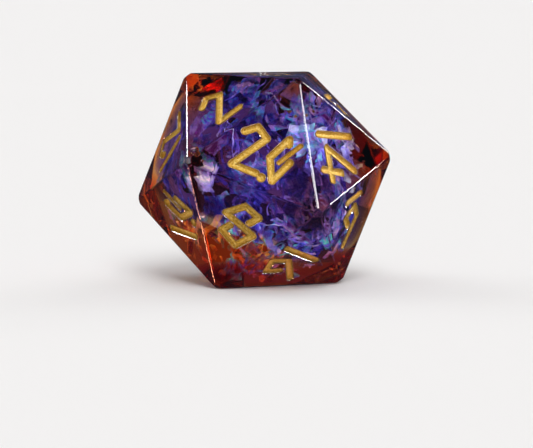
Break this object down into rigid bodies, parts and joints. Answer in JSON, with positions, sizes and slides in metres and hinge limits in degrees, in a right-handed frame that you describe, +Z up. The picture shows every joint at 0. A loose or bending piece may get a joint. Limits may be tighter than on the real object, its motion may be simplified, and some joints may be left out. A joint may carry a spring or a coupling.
{
  "type": "polyhedral die",
  "caption": "Icosahedral gaming die cast in clear amber and violet resin, with iridescent film scraps sealed inside and engraved numerals filled with gold paint.",
  "frame": {"origin": "middle of the resting face, which is also the bottom centre of the bounding box", "axes": "+Z up out of the resting face; -Y is the front, and the highest-numbered face is turned square to it"},
  "size_m": [0.024, 0.0226, 0.02],
  "materials": {
    "amber_resin": "clear polished cast epoxy, tinted amber to orange-red, gloss",
    "violet_resin": "clear cast epoxy, tinted violet-blue",
    "gold_paint": "satin metallic gold acrylic paint, slightly mottled, dried in the bottom of the engraving",
    "iridescent_film": "thin iridescent film that shifts between blue, teal, violet and pink",
    "gold_leaf": "bright gold leaf flecks"
  },
  "bodies": {
    "root": {"outer_casting": "amber_resin", "core_casting": "violet_resin", "numeral_1": "gold_paint", "numeral_2": "gold_paint", "numeral_3": "gold_paint", "numeral_4": "gold_paint", "numeral_5": "gold_paint", "numeral_6": "gold_paint", "numeral_7": "gold_paint", "numeral_8": "gold_paint", "numeral_9": "gold_paint", "numeral_10": "gold_paint", "numeral_11": "gold_paint", "numeral_12": "gold_paint", "numeral_13": "gold_paint", "numeral_14": "gold_paint", "numeral_15": "gold_paint", "numeral_16": "gold_paint", "numeral_17": "gold_paint", "numeral_18": "gold_paint", "numeral_19": "gold_paint", "numeral_20": "gold_paint", "film_scrap_1": "iridescent_film", "film_scrap_2": "iridescent_film", "film_scrap_3": "iridescent_film", "film_scrap_4": "iridescent_film", "film_scrap_5": "iridescent_film", "film_scrap_6": "iridescent_film", "film_scrap_7": "iridescent_film", "film_scrap_8": "iridescent_film", "film_scrap_9": "iridescent_film", "film_scrap_10": "iridescent_film", "film_scrap_11": "iridescent_film", "film_scrap_12": "iridescent_film", "film_scrap_13": "iridescent_film", "film_scrap_14": "iridescent_film", "film_scrap_15": "iridescent_film", "film_scrap_16": "iridescent_film", "gold_leaf_flecks": "gold_leaf"}
  },
  "joints": []
}
